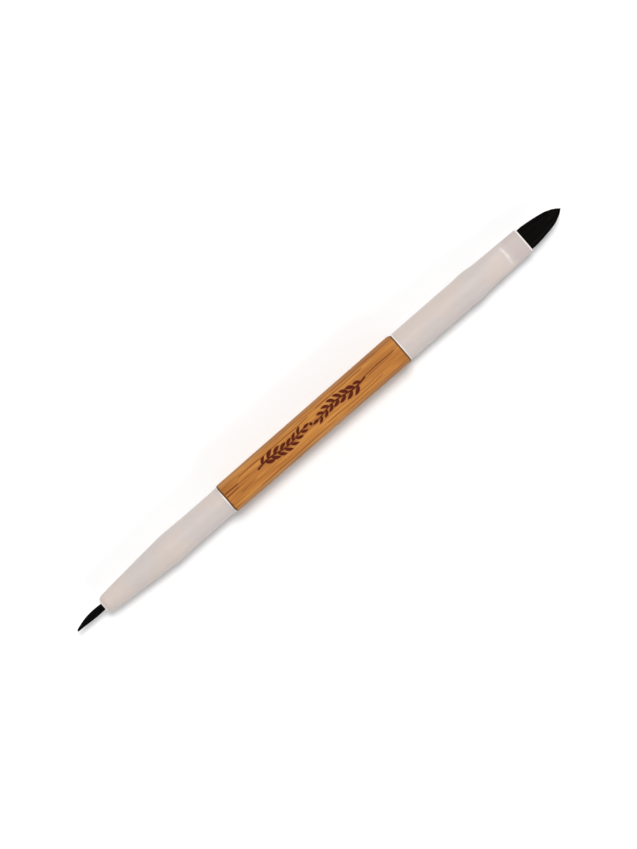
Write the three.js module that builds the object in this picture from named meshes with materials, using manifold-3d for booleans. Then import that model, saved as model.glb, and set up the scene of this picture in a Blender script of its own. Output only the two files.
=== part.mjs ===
// A double-ended make-up brush lying on its side: a bamboo grip between two lacquered metal ferrules,
// one pressed flat around a pointed flat tuft and one drawn to a nose around a fine liner tuft.
// Millimetres, Z up, +X along the brush towards the flat tuft; the grip's flat underside rests on z = 0.
import * as THREE from "three";
import { mergeVertices } from "three/addons/utils/BufferGeometryUtils.js";
import Module from "manifold-3d";

// ---- Grip -------------------------------------------------------------------------------------
const GRIP_LENGTH = 57.4;
const GRIP_WIDTH = 8.43; // halfway along
const GRIP_DEPTH = 8.4;
const GRIP_WIDENING = 0.28; // how much wider the flat tuft's end is than the liner's
const GRIP_CORNER = 1.35;
const GRIP_END_ROUND = 0.7; // length of the eased end
const GRIP_END_INSET = 0.3; // how far easing takes the end face in

// ---- Ferrules: thin tubes ---------------------------------------------------------------------
const WALL = 0.4;
const RIM_EASE = 0.13;

const FLAT_FERRULE_LENGTH = 40.8;
const FLAT_TUBE_STEP = 0.3; // the tube is this much thinner than the grip is deep
const FLAT_TUBE_DIAMETER = GRIP_DEPTH - FLAT_TUBE_STEP;
const BAND_LENGTH = 5.4; // parallel band at the mouth
const PRESSED_LENGTH = 15; // from the round tube to the band
const CREASE = FLAT_FERRULE_LENGTH - BAND_LENGTH;
const PRESS_START = CREASE - PRESSED_LENGTH;
const SHOULDER_FROM_PRESS = 2.6;
const SHOULDER_LENGTH = 4;
const SHOULDER_START = PRESS_START + SHOULDER_FROM_PRESS;
const SHOULDER_END = SHOULDER_START + SHOULDER_LENGTH;
const SHOULDER_SHARE = 0.45; // of the narrowing, the part lost at the shoulder
const PRESS_SWELL = 0.12; // the press spreads the tube a little before it narrows
const MOUTH_WIDTH = 7;
const MOUTH_DEPTH = 3.5;
const PRESSED_SQUARENESS = 2.6; // 2 is an ellipse

const LINER_FERRULE_LENGTH = 40.7;
const LINER_TUBE_STEP = 0.7;
const LINER_TUBE_DIAMETER = GRIP_DEPTH - LINER_TUBE_STEP;
const LINER_FLARE = 0.1; // out at the grip
const LINER_FLARE_LENGTH = 2;
const LINER_BULGE = 0.12; // out where the cone starts
const LINER_BULGE_LENGTH = 8;
const CONE_LENGTH = 19.7;
const CONE_END_DIAMETER = 5.1;
const NOSE_ROUND = 2; // length of the rolled-in nose
const LIP_THICKNESS = 0.3; // of the nose's rim around the hair
const NOSE_STOPS = [0.45, 0.75, 0.93, 1]; // where the nose's round is cut into facets
const NOSE_HOLLOW = 0.6; // how far the bore has opened halfway through the nose
const CONE_START = LINER_FERRULE_LENGTH - NOSE_ROUND - CONE_LENGTH;

// ---- Hair -------------------------------------------------------------------------------------
const FLAT_HAIR_LENGTH = 12.1; // out of the ferrule
const FLAT_HAIR_TAPER = { power: 2, blunt: 0.73 };
const FLAT_HAIR_THINNING = { power: 1.6, blunt: 0.8 };
const LINER_HAIR_LENGTH = 9;
const LINER_HAIR_DIAMETER = 1.75;
const LINER_HAIR_TAPER = { power: 4.5, blunt: 0.8 };
const LINER_TIP_SWEEP = 0.4; // sideways bend of the liner's tip
const LINER_CROWN = 0.1; // and the opposite bow halfway
const TIP_STOPS = [0.9, 0.96, 0.985]; // the last sections before the tip's point

// How each tuft is held: its hair's depth in the ferrule, and where the resin stops short of the mouth.
const FLAT_POTTING = { rootDepth: 19, resinFromMouth: 8.8 };
const LINER_POTTING = { rootDepth: 11, resinFromMouth: 3.9 };
const THREAD = 0.4;
const THREAD_TURNS = 3;
const THREAD_FROM_END = 0.8;
// A turn's rounded ridge: how far before its end, and how high, in threads.
const THREAD_RIDGE = [
  [1, 0.5],
  [0.75, 0.9],
  [0.25, 0.9],
];
const RESIN_BEHIND = 2; // resin behind the hair's inner end

// ---- Tenons and their glue ---------------------------------------------------------------------
const TENON_LENGTH = 12;
const TENON_CHAMFER = 0.6;
const TENON_SINK = 1; // carried into the grip, so that both are one piece
const GLUE_START = 4;
const GLUE_END = 9;
const GLUE_DEPTH = 0.35;

// ---- Clearances --------------------------------------------------------------------------------
const GLUED_GAP = 0.05; // between pieces that are glued or potted together
const HAIR_GAP = 0.1; // round the hair in a mouth
const FLEX_GAP = 0.3; // between potted hair and the hair that bends

// ---- Smoothness --------------------------------------------------------------------------------
const SIDES = 32;
const GRIP_STEPS = 4;
const CORNER_STEPS = 5;
const END_STEPS = 3;
const ROOT_STEPS = 6;
const HAIR_STEPS = 7;
const ROUND_STOPS = [0.13, 0.4, 0.72]; // across the free hair's round root end

const wasm = await Module();
wasm.setup();

const clamp = THREE.MathUtils.clamp;
const mix = THREE.MathUtils.lerp;
const share = (x, from, to) => clamp((x - from) / (to - from), 0, 1);
const smooth = (x, from, to) => THREE.MathUtils.smoothstep(x, from, to);
const steps = (from, to, count) =>
  Array.from({ length: count + 1 }, (_, i) => mix(from, to, i / count));

// A section across the brush: half its width, half its depth, and how square it is.
const section = (x, wide, deep = wide, square = 2, aside = 0) => ({ x, wide, deep, square, aside });
const onAxis = (x, aside = 0) => section(x, 0, 0, 2, aside);
const inset = (s, by) => ({ ...s, wide: s.wide - by, deep: s.deep - by });

// Turns a run of sections round the X axis, then presses each to its own depth and squareness.
function turned(sections) {
  const profile = sections.map((s) => new THREE.Vector2(s.wide, s.x));
  const geometry = new THREE.LatheGeometry(profile, SIDES);
  const place = geometry.getAttribute("position");
  for (let i = 0; i < place.count; i++) {
    const s = sections[i % sections.length];
    const turn = (2 * Math.PI * Math.floor(i / sections.length)) / SIDES;
    const pressed = (v) => Math.sign(v) * Math.abs(v) ** (2 / s.square);
    place.setXYZ(
      i,
      s.x,
      s.wide * pressed(Math.cos(turn)) + s.aside,
      s.deep * pressed(Math.sin(turn)),
    );
  }
  return geometry;
}

function solid(geometry) {
  geometry.deleteAttribute("normal").deleteAttribute("uv");
  const merged = mergeVertices(geometry, 1e-4);
  return new wasm.Manifold(
    new wasm.Mesh({
      numProp: 3,
      vertProperties: merged.getAttribute("position").array,
      triVerts: new Uint32Array(merged.index.array),
    }),
  );
}

function geometryOf(manifold) {
  const { vertProperties, triVerts } = manifold.getMesh();
  const geometry = new THREE.BufferGeometry();
  geometry.setAttribute("position", new THREE.BufferAttribute(vertProperties, 3));
  geometry.setIndex(new THREE.BufferAttribute(triVerts, 1));
  geometry.computeVertexNormals();
  return geometry;
}

// ---- Ferrule shapes, measured from the grip ------------------------------------------------------

function flatTube(x) {
  const radius = FLAT_TUBE_DIAMETER / 2;
  const narrowed =
    SHOULDER_SHARE * smooth(x, SHOULDER_START, SHOULDER_END) +
    (1 - SHOULDER_SHARE) * share(x, SHOULDER_END, FLAT_FERRULE_LENGTH);
  const swollen = PRESS_SWELL * Math.sin(Math.PI * share(x, PRESS_START, SHOULDER_END));
  const pressed = (share(x, PRESS_START, CREASE) + smooth(x, PRESS_START, CREASE)) / 2;
  return section(
    x,
    mix(radius, MOUTH_WIDTH / 2, narrowed) + swollen,
    mix(radius, MOUTH_DEPTH / 2, pressed),
    mix(2, PRESSED_SQUARENESS, pressed),
  );
}

function linerTube(x) {
  const noseStart = LINER_FERRULE_LENGTH - NOSE_ROUND;
  const flare = LINER_FLARE * (1 - share(x, 0, LINER_FLARE_LENGTH));
  const bulge = LINER_BULGE * smooth(x, CONE_START - LINER_BULGE_LENGTH, CONE_START);
  const straight = LINER_TUBE_DIAMETER / 2 + flare + bulge;
  const cone = mix(straight, CONE_END_DIAMETER / 2, share(x, CONE_START, noseStart));
  const rolled = Math.sqrt(1 - share(x, noseStart, LINER_FERRULE_LENGTH) ** 2);
  return section(x, mix(LINER_HAIR_DIAMETER / 2 + HAIR_GAP + LIP_THICKNESS, cone, rolled));
}

const flatTubeStops = [
  RIM_EASE,
  PRESS_START,
  ...steps(PRESS_START, SHOULDER_START, 2).slice(1),
  ...steps(SHOULDER_START, SHOULDER_END, 2).slice(1),
  ...steps(SHOULDER_END, CREASE, 4).slice(1),
  FLAT_FERRULE_LENGTH - RIM_EASE,
];
const linerNose = LINER_FERRULE_LENGTH - NOSE_ROUND;
const linerTubeStops = [
  RIM_EASE,
  LINER_FLARE_LENGTH,
  CONE_START - LINER_BULGE_LENGTH,
  CONE_START - LINER_BULGE_LENGTH / 2,
  CONE_START,
  ...steps(CONE_START, linerNose, 3).slice(1),
  ...NOSE_STOPS.map((stop) => linerNose + NOSE_ROUND * stop),
];

// Closes a tube's outside with its inside, one wall thickness in, and eased rims.
function tube(shape, stops, length) {
  const outside = [
    inset(shape(0), RIM_EASE),
    ...stops.map(shape),
    inset(shape(length), RIM_EASE),
  ];
  const inside = [length, ...stops.toReversed(), 0].map((x) => inset(shape(x), WALL));
  return turned([...outside, ...inside, outside[0]]);
}

function linerNoseTube() {
  const bore = LINER_HAIR_DIAMETER / 2 + HAIR_GAP;
  const outside = [inset(linerTube(0), RIM_EASE), ...linerTubeStops.map(linerTube)];
  const behindNose = linerTubeStops.filter((x) => x <= linerNose).toReversed();
  const inside = [
    section(LINER_FERRULE_LENGTH, bore),
    section(LINER_FERRULE_LENGTH - WALL, bore),
    section(LINER_FERRULE_LENGTH - NOSE_ROUND / 2, mix(bore, linerTube(linerNose).wide, NOSE_HOLLOW)),
    ...[...behindNose, 0].map((x) => inset(linerTube(x), WALL)),
  ];
  return turned([...outside, ...inside, outside[0]]);
}

// ---- Hair: potted roots, thread round them, and the free hair ------------------------------------

const flatHair = inset(section(0, MOUTH_WIDTH / 2, MOUTH_DEPTH / 2, PRESSED_SQUARENESS), WALL + HAIR_GAP);
const linerHair = section(0, LINER_HAIR_DIAMETER / 2);

// The flat tuft's hair is a round bundle where it is tied, and spreads flat by the ferrule's crease.
function flatRoot(x) {
  const tied = FLAT_FERRULE_LENGTH - FLAT_POTTING.rootDepth + THREAD_FROM_END + THREAD * THREAD_TURNS;
  const spread = smooth(x, tied, CREASE);
  const bundle = Math.sqrt(flatHair.wide * flatHair.deep);
  return section(
    x,
    mix(bundle, flatHair.wide, spread),
    mix(bundle, flatHair.deep, spread),
    mix(2, flatHair.square, spread),
  );
}

const linerRoot = (x) => ({ ...linerHair, x });

// The places along a ferrule that its hair, thread and resin share.
function pottingOf(length, { rootDepth, resinFromMouth }) {
  const inner = length - rootDepth;
  const tied = inner + THREAD_FROM_END;
  const untied = tied + THREAD * THREAD_TURNS;
  return { inner, tied, untied, front: length - resinFromMouth, mouth: length };
}

function rootOf(hair, { inner, tied, untied, mouth }) {
  const along = [inner, tied, ...steps(untied, mouth, ROOT_STEPS)];
  return turned([onAxis(inner), ...along.map(hair), onAxis(mouth)]);
}

// A few turns of thread side by side: each is one rounded ridge.
function bindingOf(hair, { tied, untied }) {
  const around = (x, height) => inset(hair(x), -GLUED_GAP - height * THREAD);
  const ridges = steps(tied, untied, THREAD_TURNS)
    .slice(1)
    .flatMap((end) => THREAD_RIDGE.map(([back, high]) => around(end - THREAD * back, high)));
  const first = around(tied, 0);
  const last = around(untied, THREAD_RIDGE[0][1]);
  return turned([first, ...ridges, last, around(untied, 0), first]);
}

// Resin fills the tube round the root and its thread.
function resinIn(shape, stops, hair, { inner, tied, untied, front, mouth }) {
  const back = inner - RESIN_BEHIND;
  const outside = [back, ...stops.filter((x) => x > back && x < front), front];
  const against = (x, gap) => inset(hair(x), -gap);
  const overThread = THREAD + 2 * GLUED_GAP;
  const rootStops = steps(untied, mouth, ROOT_STEPS).filter((x) => x > untied && x < front);
  return turned([
    onAxis(back),
    ...outside.map((x) => inset(shape(x), WALL + GLUED_GAP)),
    ...[front, ...rootStops.toReversed()].map((x) => against(x, GLUED_GAP)),
    against(untied + GLUED_GAP, GLUED_GAP),
    against(untied + GLUED_GAP, overThread),
    against(tied - GLUED_GAP, overThread),
    against(tied - GLUED_GAP, GLUED_GAP),
    against(inner - GLUED_GAP, GLUED_GAP),
    onAxis(inner - GLUED_GAP),
  ]);
}

// Free hair: its root end is round about the line it bends on, then it narrows to the tip.
function hairOf(hair, mouth, length, narrow, thin, bend) {
  const start = mouth + FLEX_GAP;
  const pivot = start + hair.deep;
  const fall = (u, { power, blunt }) => (1 - u ** power) ** blunt;
  const round = ROUND_STOPS.map((u) => {
    const scale = Math.sqrt(1 - (1 - u) ** 2);
    return section(mix(start, pivot, u), hair.wide * scale, hair.deep * scale, hair.square);
  });
  const [nearTip, ...last] = TIP_STOPS;
  const along = [...steps(share(pivot, mouth, mouth + length), nearTip, HAIR_STEPS), ...last];
  const free = along.map((u) =>
    section(
      mouth + u * length,
      hair.wide * fall(u, narrow),
      hair.deep * fall(u, thin),
      mix(hair.square, 2, u),
      bend(u),
    ),
  );
  return turned([onAxis(start), ...round, ...free, onAxis(mouth + length, bend(1))]);
}

// ---- Grip and tenons -----------------------------------------------------------------------------

function tenon(bore) {
  const radius = bore - GLUED_GAP;
  const groove = radius - GLUE_DEPTH;
  return turned([
    onAxis(-TENON_SINK),
    section(-TENON_SINK, radius),
    section(GLUE_START, radius),
    section(GLUE_START, groove),
    section(GLUE_END, groove),
    section(GLUE_END, radius),
    section(TENON_LENGTH - TENON_CHAMFER, radius),
    section(TENON_LENGTH, radius - TENON_CHAMFER),
    onAxis(TENON_LENGTH),
  ]);
}

function tenonGlue(bore) {
  const inner = bore - GLUED_GAP - GLUE_DEPTH + GLUED_GAP;
  const from = GLUE_START + GLUED_GAP;
  const to = GLUE_END - GLUED_GAP;
  const outer = bore - GLUED_GAP / 2;
  const first = section(from, inner);
  return turned([first, section(from, outer), section(to, outer), section(to, inner), first]);
}

function gripBlock() {
  const shape = new THREE.Shape();
  const [wide, deep, corner] = [GRIP_WIDTH / 2, GRIP_DEPTH / 2, GRIP_CORNER];
  const quarter = Math.PI / 2;
  shape.moveTo(wide, corner - deep);
  shape.absarc(wide - corner, deep - corner, corner, 0, quarter);
  shape.absarc(corner - wide, deep - corner, corner, quarter, 2 * quarter);
  shape.absarc(corner - wide, corner - deep, corner, 2 * quarter, 3 * quarter);
  shape.absarc(wide - corner, corner - deep, corner, 3 * quarter, 4 * quarter);
  const geometry = new THREE.ExtrudeGeometry(shape, {
    depth: GRIP_LENGTH - 2 * GRIP_END_ROUND,
    steps: GRIP_STEPS,
    curveSegments: CORNER_STEPS,
    bevelThickness: GRIP_END_ROUND,
    bevelSize: GRIP_END_INSET,
    bevelOffset: -GRIP_END_INSET,
    bevelSegments: END_STEPS,
  });
  geometry.translate(0, 0, GRIP_END_ROUND - GRIP_LENGTH / 2);
  const place = geometry.getAttribute("position");
  for (let i = 0; i < place.count; i++) {
    const [across, up, along] = [place.getX(i), place.getY(i), place.getZ(i)];
    const widened = 1 + (GRIP_WIDENING / GRIP_WIDTH) * (along / GRIP_LENGTH);
    place.setXYZ(i, along, across * widened, up);
  }
  return geometry;
}

// ---- Putting the pieces together -------------------------------------------------------------------

const finish = (colour, roughness, metalness = 0) => ({ color: colour, roughness, metalness });
const BAMBOO = finish(0xb97f49, 0.55);
const LACQUER = finish(0xd8cdc5, 0.38, 0.3);
const HAIR = finish(0x0f0d0d, 0.5);
const RESIN = finish(0xc9a86a, 0.25);
const COTTON = finish(0xd9d2c0, 0.9);

function add(group, name, geometry, look) {
  const mesh = new THREE.Mesh(geometry, new THREE.MeshStandardMaterial(look));
  mesh.name = name;
  group.add(mesh);
}

const axisHeight = GRIP_DEPTH / 2;
const gripMiddle =
  (LINER_FERRULE_LENGTH + LINER_HAIR_LENGTH - FLAT_FERRULE_LENGTH - FLAT_HAIR_LENGTH) / 2;
const flatBore = FLAT_TUBE_DIAMETER / 2 - WALL;
const linerBore = LINER_TUBE_DIAMETER / 2 - WALL;

const brush = new THREE.Group();
const flatEnd = new THREE.Group();
flatEnd.position.set(gripMiddle + GRIP_LENGTH / 2, 0, axisHeight);
const linerEnd = new THREE.Group();
linerEnd.position.set(gripMiddle - GRIP_LENGTH / 2, 0, axisHeight);
linerEnd.rotation.z = Math.PI;
const middle = new THREE.Group();
middle.position.set(gripMiddle, 0, axisHeight);
brush.add(middle, flatEnd, linerEnd);

const flatTenon = solid(tenon(flatBore)).translate([GRIP_LENGTH / 2, 0, 0]);
const linerTenon = solid(tenon(linerBore))
  .rotate([0, 0, 180])
  .translate([-GRIP_LENGTH / 2, 0, 0]);
const grip = solid(gripBlock()).add(flatTenon).add(linerTenon);
add(middle, "bamboo_grip", geometryOf(grip), BAMBOO);

const flatPotting = pottingOf(FLAT_FERRULE_LENGTH, FLAT_POTTING);
add(flatEnd, "flat_ferrule", tube(flatTube, flatTubeStops, FLAT_FERRULE_LENGTH), LACQUER);
add(flatEnd, "flat_tenon_glue", tenonGlue(flatBore), RESIN);
add(flatEnd, "flat_ferrule_resin", resinIn(flatTube, flatTubeStops, flatRoot, flatPotting), RESIN);
add(flatEnd, "flat_tuft_root", rootOf(flatRoot, flatPotting), HAIR);
add(flatEnd, "flat_tuft_binding", bindingOf(flatRoot, flatPotting), COTTON);
add(
  flatEnd,
  "flat_tuft",
  hairOf(
    flatHair,
    FLAT_FERRULE_LENGTH,
    FLAT_HAIR_LENGTH,
    FLAT_HAIR_TAPER,
    FLAT_HAIR_THINNING,
    () => 0,
  ),
  HAIR,
);

const linerPotting = pottingOf(LINER_FERRULE_LENGTH, LINER_POTTING);
add(linerEnd, "liner_ferrule", linerNoseTube(), LACQUER);
add(linerEnd, "liner_tenon_glue", tenonGlue(linerBore), RESIN);
add(
  linerEnd,
  "liner_ferrule_resin",
  resinIn(linerTube, linerTubeStops, linerRoot, linerPotting),
  RESIN,
);
add(linerEnd, "liner_tuft_root", rootOf(linerRoot, linerPotting), HAIR);
add(linerEnd, "liner_tuft_binding", bindingOf(linerRoot, linerPotting), COTTON);
add(
  linerEnd,
  "liner_tuft",
  hairOf(
    linerHair,
    LINER_FERRULE_LENGTH,
    LINER_HAIR_LENGTH,
    LINER_HAIR_TAPER,
    LINER_HAIR_TAPER,
    (u) => LINER_TIP_SWEEP * u ** 4 - LINER_CROWN * 4 * u * (1 - u),
  ),
  HAIR,
);

export default brush;
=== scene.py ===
"""The looks of a double-ended make-up brush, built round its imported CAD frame. Runs inside Blender 4.5."""

import math
from collections import namedtuple

import bpy
import numpy as np
from mathutils import Matrix, Vector


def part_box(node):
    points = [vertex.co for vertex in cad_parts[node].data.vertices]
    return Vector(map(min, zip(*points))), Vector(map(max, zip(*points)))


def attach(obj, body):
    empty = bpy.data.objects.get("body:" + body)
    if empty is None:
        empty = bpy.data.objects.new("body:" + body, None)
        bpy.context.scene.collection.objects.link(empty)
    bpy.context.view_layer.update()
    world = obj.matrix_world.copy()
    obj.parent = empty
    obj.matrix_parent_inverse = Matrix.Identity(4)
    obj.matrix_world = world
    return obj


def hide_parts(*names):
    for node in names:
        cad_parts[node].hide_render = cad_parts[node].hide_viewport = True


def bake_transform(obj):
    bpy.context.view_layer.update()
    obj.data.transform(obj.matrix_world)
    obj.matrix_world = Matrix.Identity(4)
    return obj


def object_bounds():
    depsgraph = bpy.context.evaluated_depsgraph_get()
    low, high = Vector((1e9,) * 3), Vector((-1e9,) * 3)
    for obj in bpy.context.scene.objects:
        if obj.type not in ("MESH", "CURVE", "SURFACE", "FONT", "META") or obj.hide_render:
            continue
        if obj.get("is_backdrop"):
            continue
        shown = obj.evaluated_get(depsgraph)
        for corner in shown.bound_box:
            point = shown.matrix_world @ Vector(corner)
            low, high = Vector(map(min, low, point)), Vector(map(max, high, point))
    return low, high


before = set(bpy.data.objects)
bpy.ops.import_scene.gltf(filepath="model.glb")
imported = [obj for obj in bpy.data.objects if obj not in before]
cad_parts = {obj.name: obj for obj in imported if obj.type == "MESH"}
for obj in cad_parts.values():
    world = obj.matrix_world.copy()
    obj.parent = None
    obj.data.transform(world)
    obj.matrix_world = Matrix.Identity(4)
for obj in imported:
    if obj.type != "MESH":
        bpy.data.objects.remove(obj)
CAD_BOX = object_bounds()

bl_info = {
    "name": "Double-ended make-up brush",
    "version": (1, 0, 0),
    "blender": (4, 5, 0),
    "location": "3D View > Sidebar > Brush",
    "description": "Builds a bamboo brush with a flat tuft and a liner tuft round its CAD frame",
    "category": "Object",
}

MM = 0.001
SEED = 7

# An end of the brush: where its ferrule meets the grip, and which way it runs along X. In mm.
End = namedtuple("End", "start way")


def corners(node):
    """A CAD node's lowest and highest corner, in mm."""
    return [np.array(c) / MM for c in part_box(node)]


GRIP_LOW, GRIP_HIGH = corners("bamboo_grip")
FLAT_LOW, FLAT_HIGH = corners("flat_ferrule")
LINER_LOW, LINER_HIGH = corners("liner_ferrule")
FLAT_END = End(FLAT_LOW[0], 1)
LINER_END = End(LINER_HIGH[0], -1)
FLAT_LENGTH = FLAT_HIGH[0] - FLAT_LOW[0]
LINER_LENGTH = LINER_HIGH[0] - LINER_LOW[0]
AXIS_UP = (GRIP_LOW[2] + GRIP_HIGH[2]) / 2
GRIP_DEPTH = GRIP_HIGH[2] - GRIP_LOW[2]
FLAT_TIP = corners("flat_tuft")[1][0]
LINER_TIP = corners("liner_tuft")[0][0]


# ---- Sizes and colours a user would change ----


def length(name, description, default):
    """A length in metres, shown in the scene's unit, from a default in mm."""
    return bpy.props.FloatProperty(
        name=name, description=description, default=default * MM, min=0, unit="LENGTH", precision=5
    )


def colour(name, description, default):
    return bpy.props.FloatVectorProperty(
        name=name, description=description, default=default, size=3, min=0, max=1, subtype="COLOR"
    )


def number(name, description, default, low=0.0, high=1.0):
    return bpy.props.FloatProperty(name=name, description=description, default=default, min=low, max=high)


def count(name, description, default):
    return bpy.props.IntProperty(name=name, description=description, default=default, min=3)


class GripSettings(bpy.types.PropertyGroup):
    corner: length("Corner radius", "Radius of the bar's long edges", 1.35)
    end_round: length("Eased end", "Length over which each end is eased", 0.7)
    end_inset: length("End inset", "How far easing takes the end face in", 0.3)
    widening: length("Widening", "How much wider the flat tuft's end is", 0.28)
    scorch_depth: length("Burned depth", "Depth of the burned sprig", 0.06)
    light: colour("Bamboo", "The bamboo's lighter fibres", (0.415, 0.165, 0.0285))
    dark: colour("Dark bamboo", "The bamboo's darker fibres", (0.215, 0.066, 0.007))
    scorch: colour("Burned colour", "The burned sprig", (0.05, 0.0045, 0.0005))


class FerruleSettings(bpy.types.PropertyGroup):
    wall: length("Wall", "Thickness of the metal", 0.4)
    bead: length("Rim bead", "How far each rim's rolled edge stands out", 0.035)
    mouth_width: length("Mouth width", "Outside width of the flat mouth", 7.0)
    mouth_depth: length("Mouth depth", "Outside depth of the flat mouth", 3.5)
    nose: length("Nose diameter", "Where the liner's cone ends", 5.1)
    crease: length("Crease", "Height of the ridge that the press leaves", 0.16)
    lacquer: colour("Lacquer", "Off-white lacquer", (0.392, 0.349, 0.334))
    # the rims' lighter colour is part polish, part painted highlight; the crease ridge's painted highlight uses it too
    rim: colour("Rim", "Polished edge at each rim", (0.61, 0.56, 0.53))


class TuftSettings(bpy.types.PropertyGroup):
    flat_filaments: count("Flat filaments", "Filaments in the flat tuft", 1250)
    liner_filaments: count("Liner filaments", "Filaments in the liner tuft", 190)
    filament: length("Filament", "Thickness of one filament", 0.115)
    liner_thickness: length("Liner thickness", "Thickness of the liner tuft", 1.75)
    liner_sweep: length("Liner sweep", "How far the liner's tip leans aside", 0.4)
    hair: colour("Hair", "Dyed synthetic filament", (0.0012, 0.001, 0.00095))


class PottingSettings(bpy.types.PropertyGroup):
    thread: length("Thread", "Thickness of the binding thread", 0.4)
    turns: count("Turns", "Turns of thread round each tuft", 3)
    gap: length("Glue line", "Clearance between glued pieces", 0.05)
    resin: colour("Resin", "Amber resin", (0.58, 0.36, 0.12))
    cotton: colour("Thread colour", "Undyed cotton", (0.66, 0.61, 0.5))


class StageSettings(bpy.types.PropertyGroup):
    lens: number("Lens", "Camera lens in mm", 200, 20, 400)
    view_height: length("View height", "Height of the view across the brush", 211.46)
    turn: bpy.props.FloatProperty(
        name="Turn", description="How far the brush is turned in view", default=math.radians(41.05), subtype="ANGLE"
    )
    floor: colour("Floor", "Pale floor", (0.72, 0.72, 0.72))
    key: number("Key light", "What a white card facing the key light alone would show", 0.87)
    left: number("Left light", "The same for the low light on the left", 0.4)
    right: number("Right light", "The same for the low light on the right", 0.58)
    sky: number("Sky", "Strength of the even light all round", 0.33)


# ---- Numbers along a shape ----


def lerp(a, b, t):
    return a + (b - a) * t


def share(x, low, high):
    return np.clip((x - low) / (high - low), 0, 1)


def smooth(x, low, high):
    t = share(x, low, high)
    return t * t * (3 - 2 * t)


def hump(x, middle, width):
    return np.exp(-(((x - middle) / width) ** 2))


def turns(columns):
    return np.arange(columns) * 2 * np.pi / columns


def knots(*spans):
    """Places along a line: each span is (from, to, count), and shared ends are kept once."""
    return np.unique(np.round(np.concatenate([np.linspace(*s) for s in spans]), 6))


# ---- Making meshes ----


def oval(turn, wide, deep, square):
    """Rows of oval sections: across = wide cos^(2/square), up = deep sin^(2/square), with signs kept."""
    power = 2 / np.broadcast_to(square, wide.shape)[:, None]
    c, s = np.cos(turn)[None], np.sin(turn)[None]
    across = wide[:, None] * np.sign(c) * np.abs(c) ** power
    up = deep[:, None] * np.sign(s) * np.abs(s) ** power
    return across, up


def stack(along, across, up, end=End(0, 1)):
    """A (rows, columns, 3) grid from distances along an end and offsets from the axis."""
    x = np.broadcast_to(along[:, None] if along.ndim == 1 else along, across.shape)
    return np.stack([end.start + end.way * x, across, up + AXIS_UP], axis=-1)


def wrapped(grid, poles=False, loop=False):
    """Points and faces of a grid whose columns close. Rows close too if loop; poles fans each end row to its
    centre."""
    rows, columns = grid.shape[:2]
    at = np.arange(rows * columns).reshape(rows, columns)
    if loop:
        at = np.vstack([at, at[:1]])
    right = np.roll(at, -1, axis=1)
    quads = np.stack([at[:-1], right[:-1], right[1:], at[1:]], axis=-1).reshape(-1, 4)
    points, faces = grid.reshape(-1, 3), quads.tolist()
    if poles:
        first, last = rows * columns, rows * columns + 1
        points = np.vstack([points, grid[0].mean(0), grid[-1].mean(0)])
        faces += np.stack([np.full(columns, first), right[0], at[0]], axis=-1).tolist()
        faces += np.stack([np.full(columns, last), at[-1], right[-1]], axis=-1).tolist()
    return points, faces


def enclosed(points, faces):
    """The volume inside: each face is cut into a fan of triangles, and the sum over them is a . (b x c) / 6."""
    total = 0.0
    for corner_count in (3, 4):
        picked = np.array([f for f in faces if len(f) == corner_count], dtype=int).reshape(-1, corner_count)
        for k in range(1, corner_count - 1):
            a, b, c = (points[picked[:, j]] for j in (0, k, k + 1))
            total += np.einsum("ij,ij->i", a, np.cross(b, c)).sum()
    return total / 6


def make(name, points, faces, finish, replaced, body=None, marks=None):
    """A smooth mesh from points in mm, its faces turned outwards, standing for CAD nodes."""
    if enclosed(points, faces) < 0:
        faces = [f[::-1] for f in faces]
    mesh = bpy.data.meshes.new(name)
    mesh.from_pydata((points * MM).tolist(), [], faces)
    for mark, values in (marks or {}).items():
        layer = mesh.attributes.new(mark, "FLOAT", "POINT")
        layer.data.foreach_set("value", np.resize(values, len(points)).astype(np.float32))
    mesh.shade_smooth()
    mesh.materials.append(finish)
    piece = bpy.data.objects.new(name, mesh)
    bpy.context.scene.collection.objects.link(piece)
    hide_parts(*replaced)
    if body:
        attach(piece, body)
    return piece


# ---- Shader building ----


def adds(operation, reflected=False):
    """A method that adds one Math node, taking its two values the other way round if reflected."""
    if reflected:
        return lambda self, other: self.maths(operation, other, self)
    return lambda self, other: self.maths(operation, self, other)


class Wire:
    """A shader value: Python's operators on it add Math nodes."""

    def __init__(self, tree, socket):
        self.tree, self.socket = tree, socket

    def maths(self, operation, first, second):
        node = self.tree.nodes.new("ShaderNodeMath")
        node.operation = operation
        for slot, value in zip(node.inputs, (first, second)):
            if isinstance(value, Wire):
                self.tree.links.new(value.socket, slot)
            else:
                slot.default_value = value
        return Wire(self.tree, node.outputs[0])

    __add__, __radd__ = adds("ADD"), adds("ADD", reflected=True)
    __sub__, __rsub__ = adds("SUBTRACT"), adds("SUBTRACT", reflected=True)
    __mul__, __rmul__ = adds("MULTIPLY"), adds("MULTIPLY", reflected=True)

    def __abs__(self):
        return self.maths("ABSOLUTE", self, 0)


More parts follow.
